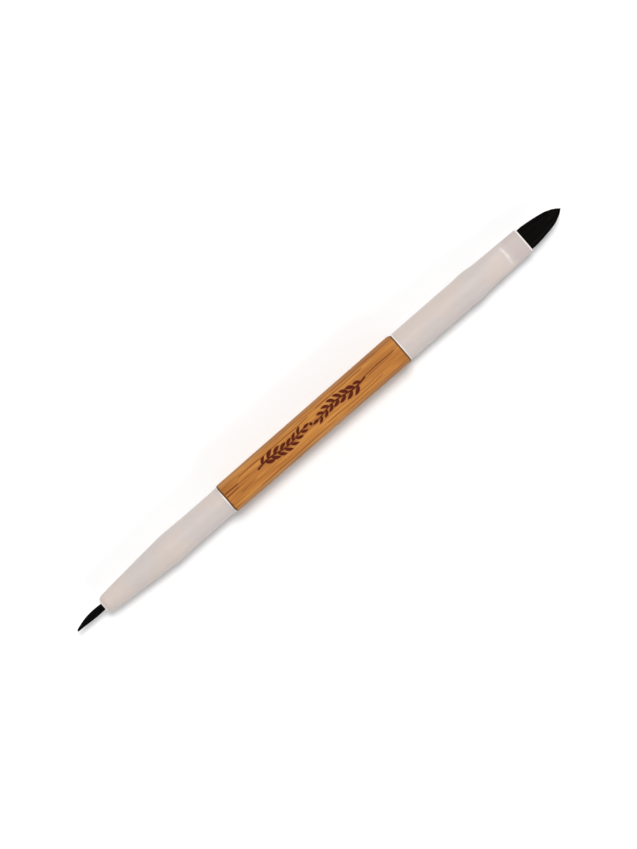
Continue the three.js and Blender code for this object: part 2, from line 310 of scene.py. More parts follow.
class Finish:
    """One material: its shader, and the nodes that feed it."""

    def __init__(self, name, **steady):
        self.material = bpy.data.materials.new(name)
        self.material.use_nodes = True
        self.tree = self.material.node_tree
        self.shader = next(n for n in self.tree.nodes if n.type == "BSDF_PRINCIPLED")
        for socket, value in steady.items():
            self.shader.inputs[socket.replace("_", " ").title().replace("Ior", "IOR")].default_value = value
        self.place = self.node("TexCoord", output="Object")

    def node(self, kind, settings=None, inputs=None, output=0):
        """Adds a node, sets its settings and then its sockets, and returns one of its outputs."""
        node = self.tree.nodes.new("ShaderNode" + kind)
        for key, value in (settings or {}).items():
            setattr(node, key, value)
        for key, value in (inputs or {}).items():
            if isinstance(value, Wire):
                self.tree.links.new(value.socket, node.inputs[key])
            else:
                node.inputs[key].default_value = value
        return Wire(self.tree, node.outputs[output])

    def noise(self, per_mm, detail=3, roughness=0.55, shift=(0, 0, 0)):
        """Noise with so many cells to the mm along X, Y and Z."""
        scale = [n / MM for n in per_mm]
        where = self.node("Mapping", None, {"Vector": self.place, "Location": shift, "Scale": scale})
        values = {"Vector": where, "Scale": 1, "Detail": detail, "Roughness": roughness}
        return self.node("TexNoise", None, values)

    def ease(self, value, low, high):
        """0 below low, 1 above high, and smooth between."""
        if low > high:
            return 1 - self.ease(value, high, low)
        ranged = {"Value": value, "From Min": low, "From Max": high}
        return self.node("MapRange", {"interpolation_type": "SMOOTHSTEP"}, ranged)

    def mark(self, name):
        return self.node("Attribute", {"attribute_name": name}, None, "Fac")

    def mix(self, factor, first, second):
        """A colour between two: each is a colour or a wire."""
        filled = [c if isinstance(c, Wire) else (*c, 1) for c in (first, second)]
        inputs = {0: factor, 6: filled[0], 7: filled[1]}
        return self.node("Mix", {"data_type": "RGBA"}, inputs, 2)

    def axes(self):
        """X, Y and Z in mm."""
        parts = self.node("SeparateXYZ", None, {0: self.place})
        node = parts.socket.node
        return [Wire(self.tree, node.outputs[k]) * (1 / MM) for k in range(3)]

    def set(self, **wires):
        """Feeds the shader's sockets."""
        for socket, wire in wires.items():
            self.tree.links.new(wire.socket, self.shader.inputs[socket.replace("_", " ").title()])

    def relief(self, height, depth_mm, strength=1.0):
        """Raises the surface by height times a depth in mm."""
        values = {"Height": height, "Distance": depth_mm * MM, "Strength": strength}
        self.set(normal=self.node("Bump", None, values, "Normal"))


# ---- The grip ----

# The burned ornament: two sprigs, tip to tip, with a bead between them. In mm from the middle of the brush.
SPRIG_MIDDLE, SPRIG_ASIDE = -2.2, 0.35
SPRIG_ROOTS = (-19.4, 15.5)
SPRIG_MARGIN = 0.6
BEAD_RADIUS = 0.42
# A stem: its sway, the gap it leaves for the bead, its radius, and how that is scaled at the root and thins.
SPRIG_SWAY, SWAY_TURN = 0.4, 2.5 * math.pi
BEAD_GAP = 1.2
STEM_RADIUS, STEM_ROOT, STEM_THINNING = 0.16, 1.25, 0.5
STEM_REACH, STEM_DABS = 0.93, 160
# Its leaves: where they leave the stem, as shares of it, and how each one turns and shrinks.
LEAVES, FIRST_LEAF, LEAF_SPAN = 15, 0.09, 0.84
LEAF_LENGTH, LEAF_RADIUS, LEAF_DABS = 2.75, 0.44, 18
LEAF_ANGLE, LEAF_CURL = math.radians(52), 0.75
ROOT_LEAF_SIZE, TIP_LEAF_SIZE = 0.8, 0.68
LEAF_SKEW, LEAF_BLUNT = 0.85, 0.05
FAR = 9.0


def stem_at(along):
    """How far aside the stem runs: one and a quarter waves from root to tip."""
    return SPRIG_SWAY * np.sin(SWAY_TURN * along)


def sprig_dabs():
    """Round dabs (x, y, radius) that make up both sprigs. A stem is a row of dabs that thins towards its tip; a leaf
    is a row that leaves the stem at an angle and curls back to it, its radius rising and falling as a sine."""
    dabs = [np.array([[SPRIG_MIDDLE, SPRIG_ASIDE, BEAD_RADIUS]])]
    p = np.linspace(0, 1, LEAF_DABS)
    for root, flip in zip(SPRIG_ROOTS, (1, -1)):
        reach = abs(SPRIG_MIDDLE - root) - BEAD_GAP
        way = math.copysign(1, SPRIG_MIDDLE - root)
        t = np.linspace(0, STEM_REACH, STEM_DABS)
        radius = STEM_RADIUS * (STEM_ROOT - STEM_THINNING * t)
        dabs.append(np.stack([root + way * reach * t, SPRIG_ASIDE + flip * stem_at(t), radius], -1))
        for i in range(LEAVES):
            at = FIRST_LEAF + LEAF_SPAN * i / (LEAVES - 1)
            side = 0 if i == LEAVES - 1 else (1, -1)[i % 2]
            size = lerp(1, TIP_LEAF_SIZE, at) * (ROOT_LEAF_SIZE if i == 0 else 1)
            slope = math.atan(SWAY_TURN * SPRIG_SWAY / reach * math.cos(SWAY_TURN * at)) * flip
            bend = side * (LEAF_ANGLE - LEAF_CURL * p) + slope
            step = LEAF_LENGTH * size / (LEAF_DABS - 1)
            x = root + way * (reach * at + np.cumsum(np.cos(bend)) * step)
            y = SPRIG_ASIDE + flip * stem_at(at) + np.cumsum(np.sin(bend)) * step
            radius = (LEAF_RADIUS * np.sin(np.pi * p**LEAF_SKEW) + LEAF_BLUNT) * size
            dabs.append(np.stack([x, y, radius], -1))
    return np.vstack(dabs)


def sprig_distance(x, y):
    """Distance outside the burned sprig in mm, negative inside: the least distance to a dab less its radius."""
    dabs = sprig_dabs()
    best = np.full(x.shape, FAR)
    batch = 40
    for start in range(0, len(dabs), batch):
        d = dabs[start : start + batch]
        gap = np.hypot(x[..., None] - d[:, 0], y[..., None] - d[:, 1]) - d[:, 2]
        best = np.minimum(best, gap.min(-1))
    return best


def bar_section(radius, half, top_columns=84, corner_columns=9, side_columns=14):
    """A square of that half width with rounded corners, as (across, up) going round from the right of the top face:
    each corner is its centre plus radius (cos, sin), and each face runs straight between corners."""
    flat = half - radius
    counts = (top_columns, side_columns, side_columns, side_columns)
    across, up = [], []
    for face, columns in enumerate(counts):
        t = np.linspace(1, -1, columns, endpoint=False)
        a = np.linspace(0, np.pi / 2, corner_columns, endpoint=False)
        face_across = np.concatenate([flat * t, -flat - radius * np.sin(a)])
        face_up = np.concatenate([np.full(columns, half), flat + radius * np.cos(a)])
        turn = face * np.pi / 2
        across.append(face_across * np.cos(turn) - face_up * np.sin(turn))
        up.append(face_across * np.sin(turn) + face_up * np.cos(turn))
    return np.concatenate(across), np.concatenate(up)


# Hand sanding along the edges, one worn corner, and where the burned hollow's side stands from the sprig's outline.
EDGE_WANDER, WANDER_PER_MM = 0.014, 0.31
WORN_CORNER, WORN_LENGTH = 0.55, 1.5
BURN_EDGE = (-0.1, 0.07)
# A tenon's rows: how far each is from the end, or from the joint, and what it takes off the bore's radius, in mm.
TENON_TIP = ((0, 0.65), (0.25, 0.3), (0.6, 0.05))
TENON_GROOVE = ((9.05, 0.05), (9.0, 0.1), (8.95, 0.4), (4.05, 0.4), (4.0, 0.1), (3.95, 0.05), (0.3, 0.05), (0, 0.05))
TUBE_WALL = 0.4


def tenon_rows(reach, bore, round_turn):
    """A round tenon as (s, across, up), from its chamfered end past the groove for glue and back to the joint."""
    rows = np.array([*((reach - s, off) for s, off in TENON_TIP), *TENON_GROOVE])
    s, r = rows[:, 0], bore - rows[:, 1]
    return s, r[:, None] * np.cos(round_turn)[None], r[:, None] * np.sin(round_turn)[None]


def grip_mesh(settings):
    """The bar with its tenons, as one skin: rows run from one tenon's end to the other's. A body row is the rounded
    square drawn in by e (1 - sqrt(1 - (1 - d/r)^2)) within r of an end face; a tenon row is a circle. Hand sanding
    moves it in by slow waves, and the sprig is pressed into the top face."""
    radius, half = settings.corner / MM, GRIP_DEPTH / 2
    across, up = bar_section(radius, half)
    round_turn = np.arctan2(up, across)
    low, high = LINER_HIGH[0], FLAT_LOW[0]
    e_len, e_in = settings.end_round / MM, settings.end_inset / MM
    sprig_low, sprig_high = SPRIG_ROOTS[0] - SPRIG_MARGIN, SPRIG_ROOTS[1] + SPRIG_MARGIN
    x = knots(
        (low, low + e_len, 12),
        (low + e_len, sprig_low, 16),
        (sprig_low, sprig_high, 400),
        (sprig_high, high - e_len, 24),
        (high - e_len, high, 12),
    )
    edge = np.minimum(x - low, high - x)
    drawn = e_in * (1 - np.sqrt(1 - (1 - np.clip(edge / e_len, 0, 1)) ** 2))
    scale = 1 - drawn / half
    widest = GRIP_HIGH[1] - settings.widening / MM / 2 * np.clip((high - e_len - x) / (high - low), 0, 1)
    wide = widest / half * scale
    body_across, body_up = across[None] * wide[:, None], up[None] * scale[:, None]
    # 1 on the long edges, and nearly 0 away from them
    cornerness = np.minimum(np.abs(across), np.abs(up)) / (half - radius * 0.3)
    corner = np.clip(cornerness, 0, 1)[None] ** 6
    wander = 0.5 + 0.5 * np.sin(x[:, None] * WANDER_PER_MM + 3 * np.sign(across) + np.sign(up))
    inwards = corner * EDGE_WANDER * wander
    near_end = share(x, high - WORN_LENGTH, high + 0.1)[:, None]
    wear_and_painted_light = WORN_CORNER * (1 - np.sqrt(1 - near_end**2)) * np.clip(across / half, 0, 1) ** 3
    body_across, body_up = body_across * (1 - inwards) - wear_and_painted_light, body_up * (1 - inwards)
    on_top = (up > half - 1e-6) & (np.abs(across) < half - radius + 1e-6)
    distance = np.full(body_across.shape, FAR)
    all_x = np.broadcast_to(x[:, None], body_across.shape)
    distance[:, on_top] = sprig_distance(all_x[:, on_top], body_across[:, on_top])
    body_up -= settings.scorch_depth / MM * (1 - smooth(distance, *BURN_EDGE))
    s, liner_across, liner_up = tenon_rows(low - GRIP_LOW[0], LINER_TUBE / 2 - TUBE_WALL, round_turn)
    s2, flat_across, flat_up = tenon_rows(GRIP_HIGH[0] - high, FLAT_TUBE / 2 - TUBE_WALL, round_turn)
    grid = np.concatenate(
        [
            stack(s, liner_across, liner_up, LINER_END),
            stack(x, body_across, body_up),
            stack(s2, flat_across, flat_up, FLAT_END)[::-1],
        ]
    )
    sprig, edge = np.full(grid.shape[:2], FAR), np.zeros(grid.shape[:2])
    sprig[len(s) : len(s) + len(x)] = distance
    # the edge mark says where the bamboo's long edges get their painted shade and reflection
    edge[len(s) : len(s) + len(x)] = corner
    points, faces = wrapped(grid, poles=True)
    return points, faces, {"sprig": np.append(sprig, [FAR, FAR]), "edge": np.append(edge, [0, 0])}


# The bamboo's dark lines: each one's place across, its start and end along the bar and its thickness, in mm, and how
# dark it is.
GRAIN_LINES = (
    (2.1, -25.5, -1.0, 0.2, 0.85),
    (2.45, 0.5, 17.0, 0.2, 0.85),
    (0.75, 15.0, 26.2, 0.26, 1.0),
    (0.28, 15.5, 25.4, 0.16, 0.8),
    (1.05, -30.3, -25.2, 0.28, 1.0),
    (0.25, -30.3, -25.6, 0.24, 0.95),
    (-1.05, -27.0, -20.5, 0.19, 0.7),
    (-2.3, 0.5, 20.0, 0.2, 0.65),
    (-3.1, -22.0, 4.0, 0.17, 0.6),
    (3.2, 6.0, 22.0, 0.17, 0.6),
)
LINE_WANDER, LONG_LINE, LONG_FADE, SHORT_FADE = 0.9, 6, 1.5, 0.8
GRIP_MIDDLE = (LINER_HIGH[0] + FLAT_LOW[0]) / 2
JOINT_SHADE_SPAN = (28.2, 28.5)  # from the middle: where the darkened end starts, and is full
GOLD = (0.445, 0.21, 0.042)
DASH_BROWN = (0.2, 0.057, 0.006)
SPECK_BROWN = (0.14, 0.045, 0.008)
LINE_BROWN = (0.135, 0.031, 0.001)
# painted shade and reflection on the rounded long edges
EDGE_SHADE_GREY = (0.2, 0.125, 0.07)
JOINT_SHADE_BROWN = (0.06, 0.028, 0.012)
HALO_BROWN = (0.16, 0.045, 0.01)
CHAR_RED = (0.08, 0.011, 0.002)


def bamboo(settings):
    """Varnished bamboo: fibres along X from noise drawn out along it, a few dark lines, the burned sprig, painted
    shade and reflection along the long edges, and painted shade at both ends where the ferrules meet it.
    """
    f = Finish("bamboo", coat_roughness=0.3, ior=1.45, specular_ior_level=0.15)
    x, y, _ = f.axes()
    tone = f.noise((0.02, 0.35, 0.35), 2, shift=(3.1, 0.7, 0.2))
    streak = f.noise((0.04, 1.3, 1.3), 4, 0.65, (9.0, 4.0, 2.0))
    fibre = f.noise((0.09, 6.0, 6.0), 4, 0.7)
    dash = f.noise((0.07, 3.0, 3.0), 2, 0.5, (1.0, 8.0, 5.0))
    wobble = f.noise((0.07, 0.3, 0.3), 2)
    speck = f.noise((0.9, 5.0, 5.0), 1, 0.5, (4.0, 2.0, 7.0))
    dark = f.ease(tone, 0.38, 0.62) * 0.28 + f.ease(streak, 0.4, 0.6) * 0.42 + f.ease(fibre, 0.38, 0.66) * 0.3

    def grain_line(across, start, end, thickness, depth):
        """A dark line along the bar at one place across it, wandering a little and fading at both ends."""
        near = f.ease(abs(y - across + (wobble - 0.5) * LINE_WANDER), thickness, thickness * 0.3)
        fade = LONG_FADE if end - start > LONG_LINE else SHORT_FADE
        return near * f.ease(x, start, start + fade) * f.ease(x, end, end - fade) * depth

    lines = grain_line(*GRAIN_LINES[0])
    for line in GRAIN_LINES[1:]:
        lines = lines + grain_line(*line)
    near_liner = f.ease(x, -19.0, -31.0) * f.ease(dash, 0.46, 0.58) * 0.45
    gold = f.mix(f.ease(tone, 0.66, 0.36) * 0.45, settings.light, GOLD)
    base = f.mix(dark + near_liner, gold, settings.dark)
    base = f.mix(f.ease(dash, 0.57, 0.66) * 0.55, base, DASH_BROWN)
    base = f.mix(f.ease(speck, 0.68, 0.76) * 0.6, base, SPECK_BROWN)
    base = f.mix(lines * (0.5 + dash), base, LINE_BROWN)
    # painted shade and reflection: grey-brown lines along the rounded long edges, where they turn away from the light
    edge = f.mark("edge")
    base = f.mix(edge * edge * 0.7, base, EDGE_SHADE_GREY)
    # painted shade at both ends of the bar, in the joint with each ferrule
    base = f.mix(f.ease(abs(x - GRIP_MIDDLE), *JOINT_SHADE_SPAN) * 0.85, base, JOINT_SHADE_BROWN)
    ragged = f.mark("sprig") + (fibre - 0.5) * 0.09
    burned = f.ease(ragged, 0.05, -0.03)
    base = f.mix(f.ease(ragged, 0.34, 0.0) * 0.45, base, HALO_BROWN)
    char = f.mix(f.noise((0.7, 2.5, 2.5), 3), settings.scorch, CHAR_RED)
    f.set(
        base_color=f.mix(burned, base, char),
        roughness=0.54 + fibre * 0.14 + burned * 0.25,
        coat_weight=0.05 - burned * 0.05,
    )
    f.relief(fibre * 0.6 + streak * 0.5 - lines * 0.5 - dash * 0.2 + burned * 0.2, 0.03, 0.9)
    return f.material


# ---- The ferrules ----

# The flat ferrule, in mm from the grip: a round tube, a pressed part with a shoulder, a crease, and the hair's band.
FLAT_TUBE = FLAT_HIGH[2] - FLAT_LOW[2]
BAND, PRESSED = 5.4, 15.0
CREASE = FLAT_LENGTH - BAND
PRESS_START = CREASE - PRESSED
SHOULDER_START = PRESS_START + 2.6
SHOULDER_END = SHOULDER_START + 4
SHOULDER_SHARE = 0.45
PRESS_SWELL = 0.12
SQUARENESS = 2.6
# The ridge at the crease: where it rises and falls, and how far back it and its ends stand. It and the shallow dish
# behind it fade between two shares of the half width.
RIDGE_RISE, RIDGE_FALL, RIDGE_BACK, RIDGE_BOW = (-1.35, -0.3), (0.2, -0.15), 0.05, 0.7
RIDGE_FADE = (0.85, 0.45)
DISH_DEPTH, DISH_BACK, DISH_LENGTH, DISH_FADE = 0.05, 3.2, 2.4, (0.75, 0.2)
# The liner's ferrule: a tube that flares at the grip and bulges before its cone, a waist, and a rolled nose.
LINER_TUBE = GRIP_DEPTH - 0.7
NOSE, CONE_LENGTH = 2.0, 19.7
NOSE_START = LINER_LENGTH - NOSE
CONE_START = NOSE_START - CONE_LENGTH
BULGE, BULGE_LENGTH = 0.12, 8.0
FLARE, FLARE_LENGTH = 0.1, 2.0
WAIST, WAIST_BACK, WAIST_LENGTH = 0.05, 0.3, 1.1
HAIR_GAP, LIP = 0.1, 0.3
# Both rims: the radius they are eased to, the rows that ease them, the bead beside them and where it ends.
RIM, RIM_ROWS = 0.19, 6
BEAD_AT, BEAD_SPREAD, BEAD_END = 0.33, 0.16, 1.2
INSIDE_RIM = 0.3  # the inside is as light as the outside is at this distance from a rim, where the lighter colour is part polish, part painted highlight


def flat_tube(s, settings):
    """Half width, half depth and squareness of the flat ferrule's outside, s mm from the grip: a round tube that
    narrows at a shoulder and then evenly to the mouth, and is pressed to the mouth's depth by the crease."""
    radius = FLAT_TUBE / 2
    narrowed = SHOULDER_SHARE * smooth(s, SHOULDER_START, SHOULDER_END)
    narrowed = narrowed + (1 - SHOULDER_SHARE) * share(s, SHOULDER_END, FLAT_LENGTH)
    swollen = PRESS_SWELL * np.sin(np.pi * share(s, PRESS_START, SHOULDER_END))
    pressed = (share(s, PRESS_START, CREASE) + smooth(s, PRESS_START, CREASE)) / 2
    wide = lerp(radius, settings.mouth_width / MM / 2, narrowed) + swollen
    return wide, lerp(radius, settings.mouth_depth / MM / 2, pressed), lerp(2, SQUARENESS, pressed)


def liner_tube(s, settings, hair):
    """The same for the liner's ferrule: a flared and bulged tube, a cone, and a nose that rolls in as a quarter
    circle."""
    flare = FLARE * (1 - share(s, 0, FLARE_LENGTH))
    bulge = BULGE * smooth(s, CONE_START - BULGE_LENGTH, CONE_START)
    straight = LINER_TUBE / 2 + flare + bulge
    cone = lerp(straight, settings.nose / MM / 2, share(s, CONE_START, NOSE_START))
    rolled = np.sqrt(1 - share(s, NOSE_START, LINER_LENGTH) ** 2)
    wide = lerp(hair + HAIR_GAP + LIP, cone, rolled)
    return wide, wide, np.full_like(wide, 2)


def eased_rim(distance):
    """How far a rim of radius RIM is drawn in at that distance from its edge: a quarter circle."""
    return RIM * (1 - np.sqrt(1 - (1 - np.clip(distance / RIM, 0, 1)) ** 2))


def flat_ferrule_mesh(settings, columns=144):
    """The tube's outside, then its inside one wall in, joined round both rims. A bead stands out beside each rim, and
    the press leaves a curved ridge across both faces at the crease."""
    wall, bead = settings.wall / MM, settings.bead / MM
    ridge_start, ridge_end = CREASE - 1.5, CREASE + 1
    s = knots(
        (0, RIM, RIM_ROWS),
        (RIM, BEAD_END, 14),
        (BEAD_END, PRESS_START, 14),
        (PRESS_START, ridge_start, 44),
        (ridge_start, ridge_end, 34),
        (ridge_end, FLAT_LENGTH - BEAD_END, 8),
        (FLAT_LENGTH - BEAD_END, FLAT_LENGTH - RIM, 14),
        (FLAT_LENGTH - RIM, FLAT_LENGTH, RIM_ROWS),
    )
    wide, deep, square = flat_tube(s, settings)
    edge = np.minimum(s, FLAT_LENGTH - s)
    out = bead * hump(edge, BEAD_AT, BEAD_SPREAD) - eased_rim(edge)
    turn = turns(columns)
    across, up = oval(turn, wide + out, deep + out, square)
    # the ridge stands nearest the mouth in the middle of each face and fades before the sides
    side = across / wide[:, None]
    past = s[:, None] - (CREASE - RIDGE_BACK - RIDGE_BOW * side**2)
    ridge_highlight = smooth(past, *RIDGE_RISE) * smooth(past, *RIDGE_FALL) * smooth(np.abs(side), *RIDGE_FADE)
    ridge = settings.crease / MM * ridge_highlight
    dished = -DISH_DEPTH * hump(s[:, None], CREASE - DISH_BACK, DISH_LENGTH) * smooth(np.abs(side), *DISH_FADE)
    up = up + np.sign(up) * (ridge + dished)
    back = s[::-1]
    inner_s = np.concatenate([back[:RIM_ROWS], back[RIM_ROWS:-RIM_ROWS:3], back[-RIM_ROWS:]])
    wide, deep, square = flat_tube(inner_s, settings)
    inset = wall - eased_rim(np.minimum(inner_s, FLAT_LENGTH - inner_s))
    inner_across, inner_up = oval(turn, wide - inset, deep - inset, square)
    grid = np.concatenate([stack(s, across, up, FLAT_END), stack(inner_s, inner_across, inner_up, FLAT_END)])
    rim = np.repeat(np.concatenate([edge, np.full(len(inner_s), INSIDE_RIM)]), columns)
    # the ridge's shape also marks where its highlight is painted
    ridge_highlights = np.concatenate([ridge_highlight.ravel(), np.zeros(inner_across.size)])
    points, faces = wrapped(grid, loop=True)
    return points, faces, {"rim": rim, "ridge_highlight": ridge_highlights}


def liner_ferrule_mesh(settings, hair, columns=144):
    """The tube's outside up to its rolled nose, a round lip round the hair, then its inside back to the grip."""
    wall, bead = settings.wall / MM, settings.bead / MM
    s = knots(
        (0, RIM, RIM_ROWS),
        (RIM, BEAD_END, 14),
        (BEAD_END, CONE_START - BULGE_LENGTH, 6),
        (CONE_START - BULGE_LENGTH, CONE_START + 1.5, 22),
        (CONE_START + 1.5, NOSE_START - 1, 16),
        (NOSE_START - 1, NOSE_START, 6),
    )
    roll = np.sin(np.linspace(0, np.pi / 2, 26))[1:]
    s = np.concatenate([s, NOSE_START + NOSE * roll])
    wide = liner_tube(s, settings, hair)[0]
    # spun metal draws in a little where the cone runs into the nose
    wide = wide - WAIST * hump(s, NOSE_START - WAIST_BACK, WAIST_LENGTH)
    wide = wide + bead * hump(s, BEAD_AT, BEAD_SPREAD) - eased_rim(s)
    bore = hair + HAIR_GAP
    lip = np.linspace(0, np.pi, 11)[1:-1]
    lip_s = LINER_LENGTH - LIP / 2 * (1 - np.sin(lip))
    lip_wide = bore + LIP / 2 + LIP / 2 * np.cos(lip)
    back_s = np.array([LINER_LENGTH - wall, LINER_LENGTH - NOSE / 2])
    back_wide = np.array([bore, lerp(bore, settings.nose / MM / 2, 0.6)])
    inner_s = np.concatenate([s[s <= NOSE_START][::-1][::4], [0.0]])
    inner_wide = liner_tube(inner_s, settings, hair)[0] - wall + eased_rim(inner_s)
    outer_s = s[:-1]
    along = np.concatenate([outer_s, lip_s, back_s, inner_s])
    wides = np.concatenate([wide[:-1], lip_wide, back_wide, inner_wide])
    across, up = oval(turns(columns), wides, wides, 2)
    # the rims' lighter colour, part polish and part painted highlight, fades more slowly at the lip than at the rim by
    # the grip
    rim = np.minimum(outer_s, 0.1 + 0.6 * (LINER_LENGTH - outer_s))
    rim = np.concatenate([rim, np.zeros(len(lip_s)), np.full(len(back_s) + len(inner_s), INSIDE_RIM)])
    points, faces = wrapped(stack(along, across, up, LINER_END), loop=True)
    return points, faces, {"rim": np.repeat(rim, columns)}


WARM_LACQUER = (0.44, 0.37, 0.315)
PINK_LACQUER = (0.4, 0.335, 0.33)
PEARL_FLAKE = (0.56, 0.53, 0.51)
SCUFFED = (0.3, 0.265, 0.25)
# painted shade: the flat band at the mouth darker and pinker than the pressed faces, from where it starts to where it
# is full, past the crease
BAND_SHADE, BAND_START = (0.35, 0.292, 0.285), (-0.3, 1.6)


def lacquer(settings):
    """Pearly off-white lacquer over metal: slow warm and pink mottling, a fine flake, scuffs, painted shade on the
    flat band, a painted highlight along the crease ridge, and rims lighter and glossier, part polish and part painted
    highlight.
    """
    f = Finish("pearl_lacquer", sheen_weight=0.25, sheen_roughness=0.45, ior=1.45, specular_ior_level=0.25)
    slow = f.noise((0.11, 0.16, 0.16), 3, 0.5)
    cloud = f.noise((0.28, 0.5, 0.5), 4, 0.6, (5.0, 1.0, 3.0))
    flake = f.noise((14.0, 14.0, 14.0), 2, 0.7)
    scuff = f.noise((0.5, 3.2, 3.2), 4, 0.65, (2.0, 9.0, 1.0))
    warm = f.mix(f.ease(slow, 0.35, 0.65) * 0.5, settings.lacquer, WARM_LACQUER)
    pink = f.mix(f.ease(cloud, 0.42, 0.72) * 0.4, warm, PINK_LACQUER)
    pearl = f.mix(f.ease(flake, 0.5, 0.78) * 0.16, pink, PEARL_FLAKE)
    wear_and_painted_light = f.mix(f.ease(scuff, 0.66, 0.78) * 0.18, pearl, SCUFFED)
    # painted shade on the flat band
    band_shade = f.ease(f.axes()[0], *(FLAT_END.start + CREASE + d for d in BAND_START))
    wear_and_painted_light = f.mix(band_shade * 0.6, wear_and_painted_light, BAND_SHADE)
    # painted highlight along the crease ridge, in the rims' lighter colour, stronger in the clouds
    ridge_highlight = f.mark("ridge_highlight") * (0.15 + f.ease(cloud, 0.3, 0.65) * 0.4)
    wear_and_painted_light = f.mix(ridge_highlight, wear_and_painted_light, settings.rim)
    # rims lighter and glossier: part polish, part painted highlight
    rim = f.ease(f.mark("rim"), 0.48, 0.22)
    f.set(
        base_color=f.mix(rim, wear_and_painted_light, settings.rim),
        roughness=0.5 + (cloud - 0.5) * 0.12 + f.ease(scuff, 0.6, 0.75) * 0.1 - rim * 0.12,
    )
    f.relief(slow * 0.9 + cloud * 0.35 + flake * 0.02, 0.03, 0.6)
    return f.material


# ---- The tufts ----

# In mm: how far the hair goes into each ferrule, and from its end where the thread starts and how long it runs.
FLAT_ROOT, LINER_ROOT = 19.0, 11.0
THREAD_FROM_END, TIED_LENGTH = 0.8, 1.2
# Each filament's rings as shares of its free length, even over the part that bends, and of its hidden length.
RINGS = np.concatenate([np.linspace(0, 0.45, 6), [0.56, 0.68, 0.8, 0.91, 1]])
ROOT_RINGS = np.array([1, 0.72, 0.45, 0.2])
STATIONS, FEWEST_STATIONS = 160, 12
TIP_ROOM, RAGGEDNESS = 0.02, 0.02
TIP_TAPER, TAPER_START = 0.6, 0.78
LINER_FINENESS = 0.9
FLAT_BEND, LINER_BEND = 6, 5.5  # how far past the mouth a tuft's bend is spread, in mm
GREY_HAIR = (0.013, 0.011, 0.01)

# A tuft: its end of the brush, its ferrule's length, how far it stands out and goes in, its section at the mouth (half
# width, half depth, squareness) and inside, three shapes along the share u of its free length (what it is cut to, how
# it draws together, how it leans), and how far filaments stray at the tip.
Tuft = namedtuple("Tuft", "end mouth free root_depth hair root_section envelope gather lean stray")


def spread_out(total, seed):
    """Places in a unit disc: a sunflower spiral, radius sqrt(k/n), turned by the golden angle and jittered."""
    rng = np.random.default_rng(seed)
    k = np.arange(total) + 0.5
    radius = np.sqrt(k / total) * (1 + rng.normal(0, 0.012, total))
    turn = k * math.pi * (3 - math.sqrt(5)) + rng.normal(0, 0.05, total)
    return np.clip(radius, 0, 1), turn, rng


def filament_tubes(centres, radii):
    """Tapered tubes of four sides along many paths at once. centres is (filaments, rings, 3); a ring is its centre
    plus radius times (cos, sin) of two directions square to the path. Each tube is capped at both ends."""
    total, rings = centres.shape[:2]
    ahead = np.gradient(centres, axis=1)
    ahead /= np.linalg.norm(ahead, axis=-1, keepdims=True)
    aside = np.cross(ahead, [0.0, 0.0, 1.0])
    aside /= np.linalg.norm(aside, axis=-1, keepdims=True)
    above = np.cross(aside, ahead)
    angle = np.arange(4) * np.pi / 2 + np.pi / 4
    ring = aside[:, :, None] * np.cos(angle)[:, None] + above[:, :, None] * np.sin(angle)[:, None]
    points = centres[:, :, None] + ring * radii[:, :, None, None]
    first = np.arange(total)[:, None, None] * rings * 4
    ring_at = np.arange(rings - 1)[:, None] * 4
    side = np.arange(4)
    next_side = (side + 1) % 4
    quad = np.stack([ring_at + side, ring_at + next_side, ring_at + 4 + next_side, ring_at + 4 + side], axis=-1)
    quads = (first[..., None] + quad[None]).reshape(-1, 4)
    caps = np.concatenate([(first[:, :, 0] + [3, 2, 1, 0]), (first[:, :, 0] + (rings - 1) * 4 + [0, 1, 2, 3])])
    return points.reshape(-1, 3), np.concatenate([quads, caps]).tolist()


def tuft_paths(tuft, disc):
    """Where each filament runs. Its place in the section, a radius and a turn, stays the same all along; inside the
    ferrule the section is root_section's, and outside it is hair's times gather, until the filament meets the
    envelope and ends. Returns (centres, share of the filament's free length)."""
    radius, turn, rng = disc
    wide, deep, square = tuft.hair
    unit = np.stack([np.cos(turn), np.sin(turn)], axis=-1)
    unit *= (radius / (np.abs(unit) ** square).sum(-1) ** (1 / square))[:, None]
    u = np.linspace(0, 1, STATIONS)
    drawn_wide, drawn_deep = tuft.gather(u)
    limit_wide, limit_deep = (np.maximum(e, 1e-4) for e in tuft.envelope(u))
    inside = (np.abs(unit[:, :1]) * drawn_wide / limit_wide) ** square
    inside = inside + (np.abs(unit[:, 1:]) * drawn_deep / limit_deep) ** square
    last = np.where(inside > 1.0001, np.arange(len(u)), len(u)).min(axis=1)
    reach = u[np.clip(last, FEWEST_STATIONS, len(u)) - 1] * (1 - RAGGEDNESS * rng.random(len(unit)) ** 2)
    along = reach[:, None] * RINGS
    inner = tuft.mouth - tuft.root_depth * ROOT_RINGS
    inner_wide, inner_deep, _ = tuft.root_section(inner)
    drift = rng.normal(0, 1, (2, len(unit), 1)) * tuft.stray * RINGS**2
    drawn_wide, drawn_deep = tuft.gather(along)
    across = unit[:, :1] * wide * drawn_wide + tuft.lean(along) + drift[0]
    up = unit[:, 1:] * deep * drawn_deep + drift[1]
    across = np.concatenate([unit[:, :1] * inner_wide[None], across], axis=1)
    up = np.concatenate([unit[:, 1:] * inner_deep[None], up], axis=1)
    hidden = (len(unit), len(inner))
    s = np.concatenate([np.broadcast_to(inner, hidden), tuft.mouth + along * tuft.free], axis=1)
    out = np.concatenate([np.zeros(hidden), np.broadcast_to(RINGS, along.shape)], axis=1)
    return stack(s, across, up, tuft.end), out


def flat_hair(settings):
    """The hair's half width, half depth and squareness in the flat ferrule's mouth."""
    inset = settings.wall / MM + HAIR_GAP / 2
    return settings.mouth_width / MM / 2 - inset, settings.mouth_depth / MM / 2 - inset, SQUARENESS


